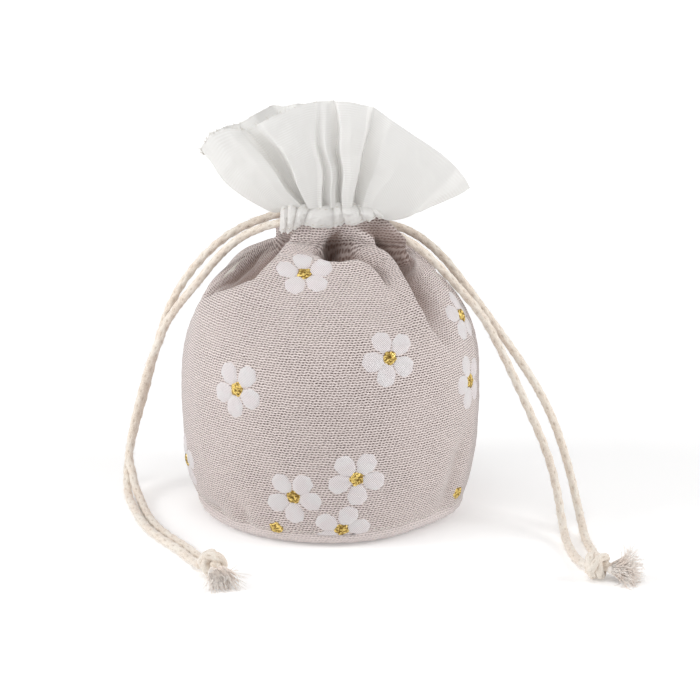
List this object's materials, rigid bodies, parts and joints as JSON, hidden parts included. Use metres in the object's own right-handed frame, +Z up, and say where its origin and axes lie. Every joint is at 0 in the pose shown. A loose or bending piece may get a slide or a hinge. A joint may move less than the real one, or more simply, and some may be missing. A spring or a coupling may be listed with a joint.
{
  "type": "drawstring gift sack",
  "caption": "Plump fabric gift sack with a gathered neck, a standing white ruffle, a corded casing and knotted drawcords, woven with small daisies.",
  "frame": {"origin": "centre of the sack's round base, on the surface it stands on", "axes": "+Z up, out of the neck; -Y towards the front; the drawcords leave the neck along -X and +X"},
  "size_m": [0.1677, 0.1336, 0.1383],
  "materials": {
    "taupe_weave": "textured taupe weave of light threads over a darker mauve-brown ground",
    "white_voile": "crisp, slightly sheer white plain weave",
    "cotton_cord": "fuzzy natural cotton braid",
    "white_thread": "sewing thread",
    "daisy_petal": "raised white satin stitch",
    "gold_thread": "gold lurex thread, glittering"
  },
  "bodies": {
    "sack": {"front_panel": "taupe_weave", "back_panel": "taupe_weave", "base_panel": "taupe_weave", "left_side_seam": "white_thread", "right_side_seam": "white_thread", "base_seam": "white_thread", "lower_stitch_row": "white_thread", "neck_facing": "white_voile", "casing_front": "white_voile", "casing_back": "white_voile", "upper_stitch_row": "white_thread", "left_cord_bight": "cotton_cord", "right_cord_bight": "cotton_cord"},
    "left_drawcord": {"left_cord_back_strand": "cotton_cord", "left_cord_front_strand": "cotton_cord", "left_knot": "cotton_cord", "left_frayed_end_a": "cotton_cord", "left_frayed_end_b": "cotton_cord"},
    "right_drawcord": {"right_cord_back_strand": "cotton_cord", "right_cord_front_strand": "cotton_cord", "right_knot": "cotton_cord", "right_frayed_end_a": "cotton_cord", "right_frayed_end_b": "cotton_cord"},
    "ruffle_front": {"ruffle_front": "white_voile"},
    "ruffle_back": {"ruffle_back": "white_voile"}
  },
  "joints": [
    {"name": "left_cord_pull", "type": "slide", "parent": "sack", "child": "left_drawcord", "axis": [-1, 0, 0], "range_m": [0, 0.012]},
    {"name": "right_cord_pull", "type": "slide", "parent": "sack", "child": "right_drawcord", "axis": [1, 0, 0], "range_m": [0, 0.012]},
    {"name": "ruffle_front_fold", "type": "hinge", "parent": "sack", "child": "ruffle_front", "pos_m": [0, -0.009, 0.1014], "axis": [1, 0, 0], "range_deg": [0, 40], "stiffness_Nm_per_rad": 0.02},
    {"name": "ruffle_back_fold", "type": "hinge", "parent": "sack", "child": "ruffle_back", "pos_m": [0, 0.009, 0.1014], "axis": [-1, 0, 0], "range_deg": [0, 40], "stiffness_Nm_per_rad": 0.02}
  ]
}
